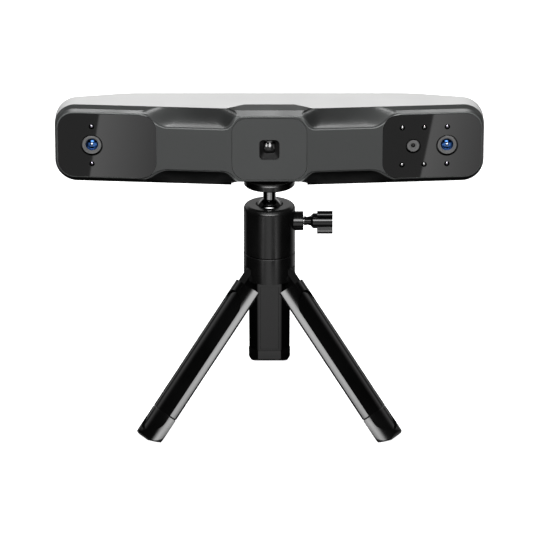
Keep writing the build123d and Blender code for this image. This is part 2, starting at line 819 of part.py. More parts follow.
# ---- scanner: housing -----------------------------------------------------------
def bezel_wing(side):
    """One swept wing of the front frame, solid, with its outline bevelled back to the seam."""
    half = scanner_width / 2
    sections = (
        (0, half - face_end_inset - front_bevel, face_height - 2 * front_bevel, face_corner - front_bevel),
        (front_bevel / bezel_depth, half - face_end_inset, face_height, face_corner),
        (bevel_knee, half - face_end_inset * bevel_knee_inset, face_height + 2 * bevel_knee_rise,
         (face_corner + corner_radius) / 2),
        (1, half, scanner_height, corner_radius),
    )
    with BuildPart() as wing:
        for depth, length, height, radius in sections:
            with BuildSketch(half_plane(side, depth * bezel_depth)):
                add(end_outline(side, along(length, depth * bezel_depth), height, radius))
        loft(ruled=True)
        with BuildSketch(Plane.XY.offset(scanner_bottom)):
            Rectangle(2 * centre_half, 2 * scanner_depth)
        extrude(amount=scanner_height, mode=Mode.SUBTRACT)
    return wing.part


def bezel_centre():
    """The flat centre, which runs back into the top and bottom, its front edges bevelled."""
    centre_back = front + centre_depth
    root_y = seam_points(scanner_width / 2)[-2][1]
    with BuildPart() as centre:
        with BuildSketch(Plane.XY.offset(scanner_bottom)):
            with BuildLine():
                Polyline((-centre_half, front), (centre_half, front), (centre_top_root, root_y),
                         (centre_top_half, centre_back), (-centre_top_half, centre_back),
                         (-centre_top_root, root_y), close=True)
            make_face()
        extrude(amount=scanner_height)
        with BuildSketch(Plane.YZ.offset(-centre_top_root)):
            for up, slope in ((1, centre_bevel), (-1, centre_underside)):
                with BuildLine():
                    Polyline(
                        (front, mid_height + up * (face_height / 2 - front_bevel)),
                        (front + front_bevel, mid_height + up * face_height / 2),
                        (front + slope, mid_height + up * (scanner_height / 2 - panel_fall)),
                        (centre_back, mid_height + up * scanner_height / 2),
                        (front, mid_height + up * scanner_height / 2), close=True,
                    )
                make_face()
        extrude(amount=2 * centre_top_root, mode=Mode.SUBTRACT)
    return centre.part


def make_front_bezel():
    """Dark front frame: two swept wings and the flat centre, with four scoops, recesses for the
    windows and the centre plate, and bosses for the screws from the bench."""
    bosses = spots(bezel_screw_x, bezel_screw_z)
    with BuildPart() as bezel:
        add(bezel_centre())
        for side in (1, -1):
            add(bezel_wing(side))
        for side in (1, -1):
            for up in (1, -1):
                add(scoop_tool(side, up), mode=Mode.SUBTRACT)
        for side in (1, -1):
            # window recess, the opening behind it, and the hollow behind the waist
            with BuildSketch(half_plane(side)):
                add(window_outline(side, 0))
            extrude(amount=-window_thickness - window_fit, mode=Mode.SUBTRACT)
            with BuildSketch(half_plane(side)):
                add(window_outline(side, ledge))
            extrude(amount=-2 * bezel_depth, mode=Mode.SUBTRACT)
            with BuildSketch(half_plane(side, bezel_wall)):
                with Locations((side * along((waist_hollow_start + window_inner + ledge) / 2),
                                (scoop_top - scoop_bottom) / 2)):
                    Rectangle(along(window_inner + ledge - waist_hollow_start),
                              scoop_top + scoop_bottom - 2 * bezel_wall)
            extrude(amount=-2 * bezel_depth, mode=Mode.SUBTRACT)
        # hollow behind the centre, the plate's recess and the way through for the projector
        with BuildSketch(Plane.XZ.offset(-front - bezel_wall)):
            with Locations((0, mid_height)):
                RectangleRounded(2 * centre_top_half - 2 * bezel_wall,
                                 face_height - 2 * bezel_wall, slot_corner)
        extrude(amount=-centre_depth, mode=Mode.SUBTRACT)
        with BuildSketch(Plane.XZ.offset(-front)):
            with Locations((0, mid_height)):
                RectangleRounded(2 * centre_half - plate_groove, face_height - 2 * plate_border, plate_corner)
        extrude(amount=-front_plate_thickness, mode=Mode.SUBTRACT)
        with BuildSketch(Plane.XZ.offset(-front)):
            add(opening_outline(shroud_wall + shroud_fit))
        extrude(amount=-centre_depth, mode=Mode.SUBTRACT)
        with BuildSketch(Plane.XZ.offset(-bench_front)):
            with Locations(*bosses):
                Circle(boss_radius)
        extrude(amount=bench_front - front_y(bezel_screw_x) - bezel_wall / 2)
        with BuildSketch(Plane.XZ.offset(-bench_front)):
            with Locations(*bosses):
                Circle(screw_radius)
        extrude(amount=bezel_screw_length, mode=Mode.SUBTRACT)
    return bezel.part


def make_centre_plate():
    """Flat plate round the projector opening, flush with the bezel's centre."""
    with BuildPart() as plate:
        with BuildSketch(Plane.XZ.offset(-front)):
            with Locations((0, mid_height)):
                RectangleRounded(2 * (centre_half - plate_groove) - plate_groove,
                                 face_height - 2 * plate_border - 2 * plate_groove,
                                 plate_corner - plate_groove)
            add(opening_outline(0), mode=Mode.SUBTRACT)
        extrude(amount=-front_plate_thickness)
    return plate.part


def make_window(side):
    """Glossy window of one half, drilled for its cameras and LEDs."""
    with BuildPart() as window:
        with BuildSketch(half_plane(side)):
            add(window_outline(side, window_fit))
        extrude(amount=-window_thickness)
        with BuildSketch(Plane.XZ):
            with Locations((side * depth_lens_offset, mid_height)):
                Circle(lens_hole)
            if side > 0:
                with Locations((rgb_lens_offset, mid_height)):
                    Circle(rgb_hole)
            with Locations(*led_points(side)):
                Circle(led_hole)
        extrude(amount=scanner_depth, mode=Mode.SUBTRACT)
    return window.part


def led_points(side):
    """The LEDs of one half, as X and height: two by the depth camera, four by the colour camera."""
    points = [(side * depth_lens_offset, mid_height + up * led_rise) for up in (1, -1)]
    if side > 0:
        points += [(rgb_lens_offset + step * flash_spread, mid_height + up * led_rise)
                   for step in (1, -1) for up in (1, -1)]
    return points


def make_rear_shell():
    """Light rear housing: hollow, with the tripod boss, ports, vents and screw bosses."""
    with BuildPart() as shell:
        add(shell_form(0))
        add(shell_form(shell_wall), mode=Mode.SUBTRACT)
        # tripod boss
        with BuildSketch(Plane.XY.offset(scanner_bottom)):
            Circle(insert_radius + insert_wall)
        extrude(amount=insert_height + insert_wall)
        with BuildSketch(Plane.XY.offset(scanner_bottom)):
            Circle(insert_radius)
        extrude(amount=insert_height, mode=Mode.SUBTRACT)
        # bosses out to the bench, and the counterbored screw holes
        with BuildSketch(Plane.XZ.offset(-shell_inner_back)):
            with Locations(*spots(shell_screw_x, shell_screw_z)):
                Circle(boss_radius)
        extrude(amount=shell_inner_back - bench_back)
        with BuildSketch(Plane.XZ.offset(-back)):
            with Locations(*spots(shell_screw_x, shell_screw_z)):
                Circle(screw_radius)
        extrude(amount=back, mode=Mode.SUBTRACT)
        with BuildSketch(Plane.XZ.offset(-back)):
            with Locations(*spots(shell_screw_x, shell_screw_z)):
                Circle(screw_head + screw_fit)
        extrude(amount=screw_head_height + screw_sink, mode=Mode.SUBTRACT)
        # port, button, light and vents
        with BuildSketch(Plane.XZ.offset(-back)):
            with Locations((port_offset, mid_height)):
                SlotOverall(port_width + 2 * port_fit, port_height + 2 * port_fit)
            with Locations((button_offset, mid_height)):
                Circle(button_radius + button_gap)
            with Locations((light_offset, mid_height)):
                Circle(light_radius + light_fit)
            with Locations((0, mid_height)):
                with GridLocations(vent_pitch, 1, vent_count, 1):
                    SlotOverall(vent_height, vent_width, rotation=90)
        extrude(amount=shell_wall + back_edge, mode=Mode.SUBTRACT)
    return shell.part


# ---- scanner: what the windows show ---------------------------------------------
def y_disc(x, z, radius, near, far):
    """A round piece lying along Y, from its front end to its back end."""
    with BuildPart() as round_piece:
        with BuildSketch(Plane.XZ.offset(-far)):
            with Locations((x, z)):
                Circle(radius)
        extrude(amount=far - near)
    return round_piece.part


def make_barrel(x, radius, glass_radius):
    """Lens barrel of a camera, with a stepped mouth that holds the front lens."""
    near = front_y(x) + barrel_back
    with BuildPart() as barrel:
        add(y_disc(x, mid_height, radius, near, module_front))
        chamfer(barrel.faces().sort_by(Axis.Y)[0].edges(), barrel_bevel)
        with BuildSketch(Plane.XZ.offset(-near)):
            with Locations((x, mid_height)):
                Circle(glass_radius + lens_seat)
        extrude(amount=-lens_seat, mode=Mode.SUBTRACT)
        with BuildSketch(Plane.XZ.offset(-near)):
            with Locations((x, mid_height)):
                Circle(glass_radius)
        extrude(amount=-lens_seat - lens_depth, mode=Mode.SUBTRACT)
    return barrel.part


def make_lens(x, glass_radius):
    """Front lens: a short cylinder with a domed face."""
    near = front_y(x) + barrel_back + lens_seat
    dome = (glass_radius**2 + lens_crown**2) / (2 * lens_crown)
    axis = Plane(origin=(x, near, mid_height), x_dir=(1, 0, 0), z_dir=(0, 0, 1))
    with BuildPart() as lens:
        with BuildSketch(axis):
            with BuildLine():
                RadiusArc((0, 0), (glass_radius, lens_crown), -dome)
                Polyline((glass_radius, lens_crown), (glass_radius, lens_depth), (0, lens_depth), (0, 0))
            make_face()
        revolve(axis=Axis((x, near, mid_height), (0, 1, 0)))
    return lens.part


def make_leds(points):
    """LED lenses: small domed cylinders that stand on their board."""
    with BuildPart() as leds:
        for x, z in points:
            add(y_disc(x, z, led_radius, front_y(x) + led_back, led_board_front))
        tips = leds.faces().filter_by(Axis.Y).filter_by(lambda face: face.center().Y < led_board_front)
        fillet(tips.edges(), led_dome)
    return leds.part


def led_board_span(side):
    """Inner and outer end of an LED board: the right one also carries the colour camera's LEDs."""
    inner = rgb_lens_offset - flash_spread + led_board_margin / 2 if side > 0 else depth_lens_offset
    return inner - led_board_margin, depth_lens_offset + led_board_margin


def post_points(side):
    """Posts on the bench that carry one LED board by its corners."""
    inner, outer = led_board_span(side)
    return [(side * x, mid_height + up * led_rise)
            for x in (inner + post_inset, outer - post_inset) for up in (1, -1)]


def make_led_board(side):
    """Circuit board behind a window, slipped over the lens barrels."""
    inner, outer = led_board_span(side)
    with BuildPart() as board:
        with BuildSketch(Plane.XZ.offset(-led_board_front)):
            with Locations((side * (inner + outer) / 2, mid_height)):
                RectangleRounded(outer - inner, 2 * led_rise + led_board_margin, led_radius)
            with Locations((side * depth_lens_offset, mid_height)):
                Circle(barrel_radius + board_hole_fit, mode=Mode.SUBTRACT)
            if side > 0:
                with Locations((rgb_lens_offset, mid_height)):
                    Circle(rgb_barrel_radius + board_hole_fit, mode=Mode.SUBTRACT)
        extrude(amount=-led_board_thickness)
    return board.part


def make_camera_module(x):
    """Square camera body on the bench."""
    with BuildPart() as module:
        with BuildSketch(Plane.XZ.offset(-bench_front)):
            with Locations((x, mid_height)):
                RectangleRounded(module_size, module_size, screw_radius)
        extrude(amount=module_depth)
    return module.part


def tunnel_form():
    """The tapered space in front of the projector's lens."""
    with BuildPart() as tunnel:
        with BuildSketch(Plane.XZ.offset(-front - front_plate_thickness)):
            add(opening_outline(0))
        with BuildSketch(Plane.XZ.offset(-tunnel_back)):
            with Locations((0, opening_height)):
                RectangleRounded(funnel_width, funnel_height, funnel_corner)
        loft()
    return tunnel.part


def make_projector_shroud():
    """Tapered tunnel from the centre plate back to the projector, whose lens it holds."""
    with BuildPart() as shroud:
        with BuildSketch(Plane.XZ.offset(-projector_front)):
            add(opening_outline(shroud_wall))
        extrude(amount=projector_front - front - front_plate_thickness)
        add(tunnel_form(), mode=Mode.SUBTRACT)
        add(make_projector_lens(), mode=Mode.SUBTRACT)
    return shroud.part


def make_projector_lens():
    return y_disc(0, opening_height, projector_lens_radius, tunnel_back, tunnel_back + projector_lens_depth)


def make_projector_module():
    """Projector body between its lens and the bench, with a round socket for the lens."""
    with BuildPart() as module:
        with BuildSketch(Plane.XZ.offset(-bench_front)):
            with Locations((0, opening_height)):
                RectangleRounded(projector_width, projector_height, screw_radius)
        extrude(amount=bench_front - projector_front)
        add(make_projector_lens(), mode=Mode.SUBTRACT)
    return module.part


# ---- scanner: inside the housing ------------------------------------------------
def make_bench():
    """Stiff plate that holds all optics in line, with posts for the three circuit boards."""
    with BuildPart() as bench:
        with BuildSketch(Plane.XZ.offset(-bench_back)):
            with Locations((0, mid_height)):
                RectangleRounded(2 * bench_half, bench_height, screw_head)
        extrude(amount=bench_thickness)
        with BuildSketch(Plane.XZ.offset(-main_board_front)):
            with Locations(*spots(standoff_x, standoff_z)):
                Circle(standoff_radius)
        extrude(amount=main_board_front - bench_back)
        with BuildSketch(Plane.XZ.offset(-bench_front)):
            with Locations(*post_points(1), *post_points(-1)):
                Circle(post_radius)
        extrude(amount=bench_front - led_board_front - led_board_thickness)
        with BuildSketch(Plane.XZ.offset(-main_board_front)):
            with Locations(*spots(bezel_screw_x, bezel_screw_z), *spots(shell_screw_x, shell_screw_z),
                           *spots(standoff_x, standoff_z)):
                Circle(screw_radius)
        extrude(amount=main_board_front - bench_front, mode=Mode.SUBTRACT)
    return bench.part


def make_main_board():
    with BuildPart() as board:
        with BuildSketch(Plane.XZ.offset(-main_board_front)):
            with Locations((0, mid_height)):
                RectangleRounded(2 * main_board_half, main_board_height, screw_radius)
            with Locations(*spots(standoff_x, standoff_z)):
                Circle(screw_radius, mode=Mode.SUBTRACT)
        extrude(amount=-board_thickness)
    return board.part


def make_heat_sink():
    """Finned block between the main board and the vents."""
    tips = shell_inner_back - sink_gap
    with BuildPart() as sink:
        with BuildSketch(Plane.XZ.offset(-board_back)):
            with Locations((0, mid_height)):
                Rectangle((fin_count - 1) * fin_pitch + fin_thickness, vent_height)
        extrude(amount=-sink_base)
        with BuildSketch(Plane.XZ.offset(-board_back - sink_base)):
            with Locations((0, mid_height)):
                with GridLocations(fin_pitch, 1, fin_count, 1):
                    Rectangle(fin_thickness, vent_height)
        extrude(amount=-(tips - board_back - sink_base))
    return sink.part


def make_usb_socket():
    """USB-C socket: a flat steel shell round a tongue, standing on the main board."""
    with BuildPart() as socket:
        with BuildSketch(Plane.XZ.offset(-board_back)):
            with Locations((port_offset, mid_height)):
                SlotOverall(port_width, port_height)
        extrude(amount=-(back - port_sink - board_back))
        with BuildSketch(Plane.XZ.offset(-back + port_sink)):
            with Locations((port_offset, mid_height)):
                SlotOverall(port_width - 2 * port_wall, port_height - 2 * port_wall)
                Rectangle(port_tongue_width, port_tongue, mode=Mode.SUBTRACT)
        extrude(amount=port_depth, mode=Mode.SUBTRACT)
    return socket.part


def make_switch():
    """Small push switch on the main board, under the power button."""
    with BuildPart() as switch:
        with BuildSketch(Plane.XZ.offset(-board_back)):
            with Locations((button_offset, mid_height)):
                Rectangle(switch_size, switch_size)
        extrude(amount=-switch_height)
    return switch.part


def make_button():
    """Power button: a domed cap with a flange behind the shell."""
    flange_back = shell_inner_back - button_clearance
    with BuildPart() as button:
        add(y_disc(button_offset, mid_height, button_radius, flange_back - button_flange,
                   back + button_proud))
        fillet(button.faces().sort_by(Axis.Y)[-1].edges(), button_edge)
        add(y_disc(button_offset, mid_height, button_radius + button_step,
                   flange_back - button_flange, flange_back))
        add(y_disc(button_offset, mid_height, screw_radius,
                   board_back + switch_height + switch_gap, flange_back))
    return button.part


def make_light_pipe():
    return y_disc(light_offset, mid_height, light_radius, board_back, back)


def make_tripod_insert():
    """Brass camera-thread insert in the scanner's underside."""
    with BuildPart() as insert:
        with BuildSketch(Plane.XY.offset(scanner_bottom)):
            Circle(insert_radius)
        extrude(amount=insert_height)
        with BuildSketch(Plane.XY.offset(scanner_bottom)):
            Circle(stud_radius + screw_fit)
        extrude(amount=insert_height - insert_floor, mode=Mode.SUBTRACT)
    return insert.part


def make_screws(places, head_face, tip):
    """Cross-head screws that point forwards, from the face of their heads to their tips."""
    with BuildPart() as screws:
        with BuildSketch(Plane.XZ.offset(-head_face)):
            with Locations(*places):
                Circle(screw_head)
        extrude(amount=screw_head_height)
        with BuildSketch(Plane.XZ.offset(-head_face)):
            with Locations(*places):
                Rectangle(screw_head, screw_slot)
                Rectangle(screw_slot, screw_head)
        extrude(amount=screw_head_height / 2, mode=Mode.SUBTRACT)
        with BuildSketch(Plane.XZ.offset(screw_head_height - head_face)):
            with Locations(*places):
                Circle(screw_radius)
        extrude(amount=head_face - screw_head_height - tip)
    return screws.part


os.makedirs("parts", exist_ok=True)
feet = {name: make_foot(azimuth) for name, azimuth in leg_azimuths.items()}
foot_boxes = [foot.bounding_box() for foot in feet.values()]
origin_shift = -(min(box.min.Y for box in foot_boxes) + max(box.max.Y for box in foot_boxes)) / 2
for name, azimuth in leg_azimuths.items():
    write(make_shell(azimuth), f"leg_{name}")
    write(make_cover(azimuth), f"leg_cover_{name}")
    write(feet[name], f"foot_{name}")
write(make_hub(), "hub")
write(make_hinge_pins(), "hinge_pins")
write(make_hub_screw(), "hub_screw")
write(make_head_housing(), "head_housing")
write(make_base_plug(), "base_plug")
write(make_ball_cup(), "ball_cup")
write(make_ball(), "ball")
write(make_screw_plate(), "screw_plate")
write(make_plate_pad(), "plate_pad")
write(make_mounting_screw(), "mounting_screw")
write(make_lock_pin(), "lock_pin")
write(make_lock_screw(), "lock_screw")
write(make_lock_knob(), "lock_knob")
for side_name, side in (("left", -1), ("right", 1)):
    lens_x = side * depth_lens_offset
    write(make_window(side), f"{side_name}_window")
    write(make_barrel(lens_x, barrel_radius, lens_radius), f"{side_name}_lens_barrel")
    write(make_lens(lens_x, lens_radius), f"{side_name}_lens")
    write(make_leds(led_points(side)[:2]), f"{side_name}_infrared_leds")
    write(make_led_board(side), f"{side_name}_led_board")
    write(make_camera_module(lens_x), f"{side_name}_camera_module")
write(make_barrel(rgb_lens_offset, rgb_barrel_radius, rgb_lens_radius), "colour_lens_barrel")
write(make_lens(rgb_lens_offset, rgb_lens_radius), "colour_lens")
write(make_camera_module(rgb_lens_offset), "colour_camera_module")
write(make_leds(led_points(1)[2:]), "flash_leds")
write(make_front_bezel(), "front_bezel")
write(make_centre_plate(), "centre_plate")
write(make_projector_shroud(), "projector_shroud")
write(make_projector_lens(), "projector_lens")
write(make_projector_module(), "projector_module")
write(make_rear_shell(), "rear_shell")
write(make_bench(), "optical_bench")
write(make_main_board(), "main_board")
write(make_heat_sink(), "heat_sink")
write(make_usb_socket(), "usb_c_socket")
write(make_switch(), "power_switch")
write(make_button(), "power_button")
write(make_light_pipe(), "light_pipe")
write(make_tripod_insert(), "tripod_insert")
write(make_screws(spots(bezel_screw_x, bezel_screw_z), bench_back + screw_head_height,
                  bench_front - bezel_screw_length), "bezel_screws")
write(make_screws(spots(shell_screw_x, shell_screw_z), back - screw_sink, bench_front), "shell_screws")
write(make_screws(spots(standoff_x, standoff_z), board_back + screw_head_height, bench_front), "board_screws")
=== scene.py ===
import bmesh
import bpy
import json
import math
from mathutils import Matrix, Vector

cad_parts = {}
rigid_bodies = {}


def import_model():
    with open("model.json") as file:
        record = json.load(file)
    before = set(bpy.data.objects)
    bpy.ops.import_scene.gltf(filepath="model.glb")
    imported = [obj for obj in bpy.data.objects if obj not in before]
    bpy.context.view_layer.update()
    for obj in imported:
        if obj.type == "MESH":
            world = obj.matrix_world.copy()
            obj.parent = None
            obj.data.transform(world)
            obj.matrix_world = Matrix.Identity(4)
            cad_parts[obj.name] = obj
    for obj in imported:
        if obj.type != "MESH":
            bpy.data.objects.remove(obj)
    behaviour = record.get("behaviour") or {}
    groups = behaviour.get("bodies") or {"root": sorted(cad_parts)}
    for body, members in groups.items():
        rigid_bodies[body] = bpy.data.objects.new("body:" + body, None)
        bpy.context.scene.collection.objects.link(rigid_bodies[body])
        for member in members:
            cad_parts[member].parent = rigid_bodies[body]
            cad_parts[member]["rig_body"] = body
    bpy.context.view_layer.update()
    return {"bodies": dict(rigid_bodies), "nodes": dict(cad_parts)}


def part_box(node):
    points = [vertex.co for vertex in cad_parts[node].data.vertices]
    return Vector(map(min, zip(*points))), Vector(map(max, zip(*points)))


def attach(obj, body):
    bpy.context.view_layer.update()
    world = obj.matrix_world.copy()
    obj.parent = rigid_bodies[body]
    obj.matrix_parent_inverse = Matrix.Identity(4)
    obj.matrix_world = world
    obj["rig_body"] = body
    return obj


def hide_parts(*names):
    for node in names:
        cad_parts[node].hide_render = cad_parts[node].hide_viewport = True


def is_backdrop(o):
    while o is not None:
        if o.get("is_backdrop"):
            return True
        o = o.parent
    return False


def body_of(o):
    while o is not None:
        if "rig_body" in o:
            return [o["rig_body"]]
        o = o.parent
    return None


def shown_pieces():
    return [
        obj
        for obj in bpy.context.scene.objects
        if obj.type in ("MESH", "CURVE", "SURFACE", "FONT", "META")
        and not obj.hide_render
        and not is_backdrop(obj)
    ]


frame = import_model()
nodes = frame["nodes"]
sides = ("left", "right", "back")
shiftY = -0.0206745  # where the tripod's axis stands, in front of the middle of the part's footprint
tiny = 1e-7  # points nearer to each other, or to a cut, than this count as one
print("frame loaded", len(nodes))


# material helpers
def newMaterial(name):
    material = bpy.data.materials.new(name)
    material.use_nodes = True
    tree = material.node_tree
    return material, tree, tree.nodes["Principled BSDF"]


def link(tree, source, output, target, inputName):
    tree.links.new(source.outputs[output], target.inputs[inputName])


def objectNoise(tree, scale, detail=2.0, roughness=0.5):
    # noise in the object's own coordinates, which are metres for every piece here
    coords = tree.nodes.new("ShaderNodeTexCoord")
    noise = tree.nodes.new("ShaderNodeTexNoise")
    noise.inputs["Scale"].default_value = scale
    noise.inputs["Detail"].default_value = detail
    noise.inputs["Roughness"].default_value = roughness
    link(tree, coords, "Object", noise, "Vector")
    return noise


def mixTones(tree, noise, low, high):
    # from the low tone to the high one, over the span in which a noise mostly stays
    node = tree.nodes.new("ShaderNodeValToRGB")
    for element, place, tone in zip(node.color_ramp.elements, (0.3, 0.7), (low, high)):
        element.position = place
        element.color = (*tone, 1)
    link(tree, noise, "Fac", node, "Fac")
    return node


def mathNode(tree, operation, first, second=None):
    node = tree.nodes.new("ShaderNodeMath")
    node.operation = operation
    for index, value in enumerate((first, second)):
        if value is None:
            continue
        if isinstance(value, (int, float)):
            node.inputs[index].default_value = value
        else:
            tree.links.new(value, node.inputs[index])
    return node.outputs[0]


def smoothStep(tree, value, start, end, low=0.0, high=1.0):
    node = tree.nodes.new("ShaderNodeMapRange")
    node.interpolation_type = "SMOOTHSTEP"
    tree.links.new(value, node.inputs["Value"])
    for name, number in (("From Min", start), ("From Max", end), ("To Min", low), ("To Max", high)):
        node.inputs[name].default_value = number
    return node.outputs["Result"]


def linearStep(tree, value, start, end, low=0.0, high=1.0):
    result = smoothStep(tree, value, start, end, low, high)
    result.node.interpolation_type = "LINEAR"
    return result


def softBand(tree, value, half, fade):
    # 1 within half of zero, falling smoothly to 0 over fade
    return smoothStep(tree, mathNode(tree, "ABSOLUTE", value), half, half + fade, 1, 0)


def addBump(tree, shader, noise, strength, distance):
    bump = tree.nodes.new("ShaderNodeBump")
    bump.inputs["Strength"].default_value = strength
    bump.inputs["Distance"].default_value = distance
    link(tree, noise, "Fac", bump, "Height")
    link(tree, bump, "Normal", shader, "Normal")


def grey(value, tint=(1, 1, 1)):
    return tuple(value * part for part in tint)


# what all finishes share: scale and detail of the slow noise, detail, roughness and height of the grain, gloss of
# the coat, specular level and least roughness
finish = {"patches": 45.0, "patchDetail": 3.0, "grainDetail": 4.0, "grainRoughness": 0.6, "grainHeight": 0.00002,
          "coatRoughness": 0.05, "specular": 0.5, "smoothest": 0.02}


def surface(name, low, high, roughness, metallic=0.0, grain=900.0, grainStrength=0.25, coat=0.0,
            roughSpread=0.06):
    # a hard finish: two near tones mixed by a slow noise, a fine grain, and roughness that varies a little
    material, tree, shader = newMaterial(name)
    slow = objectNoise(tree, finish["patches"], finish["patchDetail"])
    tone = mixTones(tree, slow, low, high)
    link(tree, tone, "Color", shader, "Base Color")
    smooth = max(roughness - roughSpread, finish["smoothest"])
    gloss = mixTones(tree, slow, grey(smooth), grey(roughness + roughSpread))
    link(tree, gloss, "Color", shader, "Roughness")
    shader.inputs["Metallic"].default_value = metallic
    shader.inputs["Coat Weight"].default_value = coat
    shader.inputs["Coat Roughness"].default_value = finish["coatRoughness"]
    shader.inputs["Specular IOR Level"].default_value = finish["specular"]
    fine = objectNoise(tree, grain, finish["grainDetail"], finish["grainRoughness"])
    addBump(tree, shader, fine, grainStrength, finish["grainHeight"])
    return material


def dress(names, material):
    for name in names:
        slots = nodes[name].data.materials
        slots.clear()
        slots.append(material)


# the bezel's front face lies at this y and turns back beyond the centre. Behind it the base colour is darkened
# with painted shade in the hollows, most of all below mid height and towards the centre, and lightened with a
# painted highlight on the rounded rim. Lengths in metres.
bezelPaintedShade = {"front": -0.0215 + shiftY, "centreHalf": 0.026, "sweep": math.tan(math.radians(5)),
              "hollowStart": 0.0003, "hollowFull": 0.0011, "middle": 0.20245, "middleFade": 0.002,
              "below": 0.90, "above": 0.16, "inner": 0.50, "innerStart": 0.020, "innerRise": 0.006,
              "innerStop": 0.085, "innerFade": 0.055, "rimStart": 0.00002, "rimFull": 0.00004, "rimFade": 0.0003,
              "rimEnd": 0.0005, "rim": 1.7}


# paints shade into the base colour: darker in the hollows behind the front face, and a painted highlight on the
# rounded rim
def paintShadeInHollows(material, shade):
    tree = material.node_tree
    shader = tree.nodes["Principled BSDF"]
    coords = tree.nodes.new("ShaderNodeTexCoord")
    parts = tree.nodes.new("ShaderNodeSeparateXYZ")
    link(tree, coords, "Object", parts, "Vector")
    away = mathNode(tree, "ABSOLUTE", parts.outputs["X"])
    beyond = mathNode(tree, "MAXIMUM", mathNode(tree, "SUBTRACT", away, shade["centreHalf"]), 0)
    swept = mathNode(tree, "MULTIPLY", beyond, shade["sweep"])
    depth = mathNode(tree, "SUBTRACT", mathNode(tree, "SUBTRACT", parts.outputs["Y"], shade["front"]), swept)
    # painted shade: the base colour is darkened deeper than the front face, most below mid height and towards the
    # centre
    deep = smoothStep(tree, depth, shade["hollowStart"], shade["hollowFull"])
    below = smoothStep(tree, parts.outputs["Z"], shade["middle"] + shade["middleFade"],
                       shade["middle"] - shade["middleFade"])
    above = mathNode(tree, "SUBTRACT", 1, below)
    start, stop = shade["innerStart"], shade["innerStop"]
    inner = mathNode(tree, "MULTIPLY", smoothStep(tree, away, start, start + shade["innerRise"]),
                     smoothStep(tree, away, stop, stop - shade["innerFade"]))
    amount = mathNode(tree, "ADD", shade["above"], mathNode(tree, "MULTIPLY", inner, shade["inner"]))
    total = mathNode(tree, "ADD", mathNode(tree, "MULTIPLY", below, shade["below"]),
                     mathNode(tree, "MULTIPLY", above, amount))
    keep = mathNode(tree, "SUBTRACT", 1, mathNode(tree, "MULTIPLY", deep, total))
    # painted highlight: the base colour is lightened in a thin band along the rounded rim
    rim = mathNode(tree, "MULTIPLY", smoothStep(tree, depth, shade["rimStart"], shade["rimFull"]),
                   smoothStep(tree, depth, shade["rimEnd"], shade["rimFade"]))
    keep = mathNode(tree, "ADD", keep, mathNode(tree, "MULTIPLY", rim, shade["rim"]))
    shaded = tree.nodes.new("ShaderNodeMix")
    shaded.data_type = "RGBA"
    shaded.blend_type = "MULTIPLY"
    shaded.inputs["Factor"].default_value = 1
    source = shader.inputs["Base Color"].links[0].from_socket
    tree.links.new(source, shaded.inputs["A"])
    tree.links.new(keep, shaded.inputs["B"])
    tree.links.new(shaded.outputs["Result"], shader.inputs["Base Color"])


silver = surface("silver_paint", grey(0.575, (1, 1, 0.995)), grey(0.605, (1, 1, 0.995)), 0.42, grain=1500.0)
bezelGrey = surface("bezel_grey", (0.044, 0.046, 0.0455), (0.048, 0.050, 0.0495), 0.36, grain=2200.0)
# painted shade in the bezel's hollows and a painted highlight on its rim
paintShadeInHollows(bezelGrey, bezelPaintedShade)
plateGrey = surface("plate_grey", (0.048, 0.050, 0.0495), (0.052, 0.054, 0.0535), 0.38, grain=2200.0)
glossBlack = surface("gloss_black", grey(0.0015), grey(0.0025), 0.14, grain=700.0, grainStrength=0.05,
                     roughSpread=0.02)
satinBlack = surface("satin_black", grey(0.003), grey(0.0045), 0.20, grain=1800.0, grainStrength=0.08)
footRubber = surface("foot_rubber", grey(0.002), grey(0.0035), 0.17, grain=1200.0, grainStrength=0.06)
padRubber = surface("pad_rubber", grey(0.010), grey(0.014), 0.45, grain=1200.0)
windowBlack = surface("window_black", grey(0.009), grey(0.010), 0.02, grain=60.0, grainStrength=0.0,
                      roughSpread=0.0)
steel = surface("steel", grey(0.50), grey(0.58), 0.28, metallic=1.0, grain=1800.0)
ballChrome = surface("ball_chrome", grey(0.34), grey(0.38), 0.08, metallic=1.0, grain=500.0, grainStrength=0.02,
                     roughSpread=0.02)
nylon = surface("nylon", grey(0.62), grey(0.68), 0.5)
brass = surface("brass", (0.58, 0.40, 0.16), (0.66, 0.47, 0.20), 0.3, metallic=1.0)
barrelGrey = surface("barrel_grey", grey(0.16), grey(0.20), 0.34, metallic=0.6)
boardGreen = surface("board_green", (0.012, 0.06, 0.03), (0.016, 0.08, 0.04), 0.35)
boardBlack = surface("board_black", grey(0.006), grey(0.009), 0.4)
moduleBlack = surface("module_black", grey(0.006), grey(0.010), 0.5)
aluminium = surface("bench_aluminium", grey(0.55), grey(0.60), 0.42, metallic=1.0)
sinkBlack = surface("sink_black", grey(0.02), grey(0.03), 0.4, metallic=0.5)
clear = surface("led_clear", grey(0.75), grey(0.8), 0.12, grainStrength=0.02)
infraredGlass = surface("infrared_led", (0.70, 0.66, 0.78), (0.78, 0.74, 0.86), 0.16, metallic=1.0,
                        grainStrength=0.0)
flashGlass = surface("flash_led", grey(0.75), grey(0.8), 0.22, metallic=1.0, grainStrength=0.0)
lensBlue = surface("lens_blue", (0.05, 0.16, 0.50), (0.06, 0.20, 0.60), 0.10, metallic=1.0, grainStrength=0.0,
                   coat=0.3)
pupilGlass = surface("pupil_glass", (0.45, 0.50, 0.62), (0.50, 0.55, 0.68), 0.10, metallic=1.0,
                     grainStrength=0.0)
mirrorWhite = surface("mirror_white", grey(0.9), grey(0.95), 0.22, metallic=1.0, grainStrength=0.0)
lensBlack = surface("lens_black", grey(0.004), grey(0.006), 0.05, grainStrength=0.01, roughSpread=0.01)

